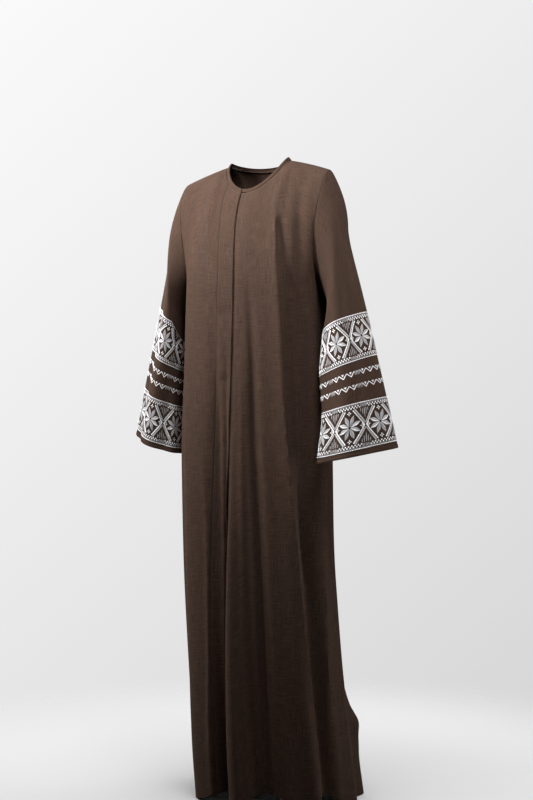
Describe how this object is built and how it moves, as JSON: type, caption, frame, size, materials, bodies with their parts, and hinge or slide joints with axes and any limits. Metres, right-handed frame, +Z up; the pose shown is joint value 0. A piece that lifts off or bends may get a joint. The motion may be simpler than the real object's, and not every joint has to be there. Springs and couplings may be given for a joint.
{
  "type": "abaya",
  "caption": "Floor-length A-line abaya in dark brown slub cloth as it hangs when worn, with a concealed front placket and flared sleeves with white embroidered bands.",
  "frame": {"origin": "midway between the shoulders, at the height of the neck sides, where the wearer carries the garment", "axes": "+Z up, -Y the way the wearer faces, +X the wearer's left side"},
  "size_m": [0.6407, 0.3497, 1.4329],
  "materials": {
    "cloth": "matt plain-weave slub cloth in espresso brown, fine darker and lighter yarns both ways",
    "doubled_cloth": "the same brown slub cloth, folded double and pressed",
    "white_thread": "white rayon embroidery thread with a satin sheen",
    "silver_thread": "silver-grey rayon embroidery thread with a satin sheen"
  },
  "bodies": {
    "root": {"back": "cloth", "front_right": "cloth", "front_placket": "doubled_cloth", "front_left": "cloth", "neck_binding": "doubled_cloth", "sleeve_left": "cloth", "cuff_binding_left": "doubled_cloth", "sleeve_right": "cloth", "cuff_binding_right": "doubled_cloth"}
  },
  "joints": []
}
